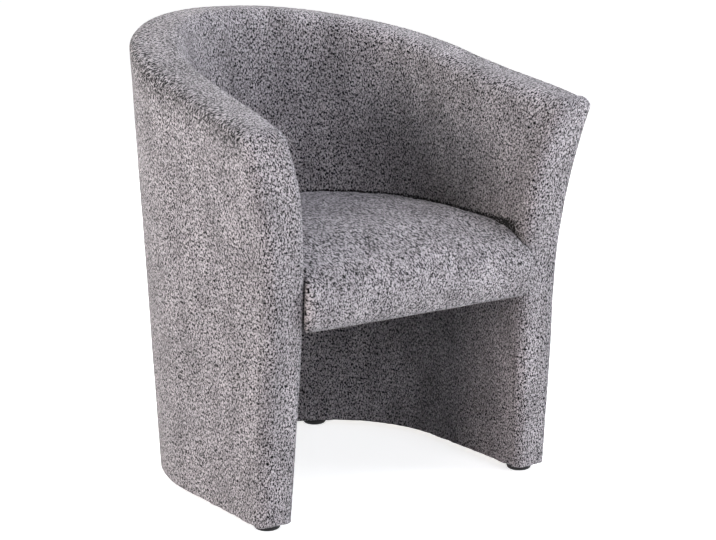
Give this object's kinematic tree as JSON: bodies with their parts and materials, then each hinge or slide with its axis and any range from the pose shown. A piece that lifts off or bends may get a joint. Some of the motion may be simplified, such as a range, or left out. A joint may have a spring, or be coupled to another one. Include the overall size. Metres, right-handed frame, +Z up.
{
  "type": "tub chair",
  "caption": "Tub armchair: one padded wall sweeps round the back and both arms, with a D-shaped padded seat held between them and low round glides under the base.",
  "frame": {"origin": "middle of the chair's box on the floor", "axes": "+Z up, -Y to the front, +X to the right as seen from the front"},
  "size_m": [0.6656, 0.6247, 0.77],
  "materials": {
    "plywood": "raw plywood",
    "timber": "raw sawn timber",
    "hardboard": "brown hardboard",
    "foam": "open cell foam",
    "wadding": "loose white fibre",
    "cover_outer": "looped grey weave",
    "cover_inner": "looped grey weave",
    "cover_front": "looped grey weave",
    "cover_seat": "looped grey weave",
    "webbing": "woven elastic webbing",
    "lining": "black nonwoven",
    "zinc": "zinc plated",
    "yellow_zinc": "yellow zinc plated",
    "glide": "black moulded plastic"
  },
  "bodies": {
    "root": {"base_plate": "plywood", "front_post_left": "timber", "front_post_right": "timber", "lower_studs": "timber", "seat_bearer": "plywood", "upper_studs": "timber", "top_rail": "plywood", "outer_board": "hardboard", "inner_board_upper": "hardboard", "inner_board_lower": "hardboard", "outer_wadding": "wadding", "back_foam": "foam", "skirt_foam": "foam", "rim_foam": "foam", "arm_front_foam_left": "foam", "arm_front_foam_right": "foam", "outer_cover": "cover_outer", "inner_cover": "cover_inner", "arm_front_cover_left": "cover_front", "arm_front_cover_right": "cover_front", "seat_front_rail": "plywood", "seat_side_rail_left": "timber", "seat_side_rail_right": "timber", "seat_back_rail": "plywood", "seat_corner_blocks": "timber", "webbing_across": "webbing", "webbing_lengthwise": "webbing", "seat_foam": "foam", "seat_roll_foam": "foam", "seat_cover": "cover_seat", "seat_lining": "lining", "seat_bolts": "zinc", "seat_bolt_washers": "zinc", "tee_nuts": "zinc", "foot_front_left": "glide", "foot_front_right": "glide", "foot_back_left": "glide", "foot_back_right": "glide", "foot_screws": "zinc", "frame_screws": "yellow_zinc", "hem_staples": "zinc", "seat_staples": "zinc"}
  },
  "joints": []
}
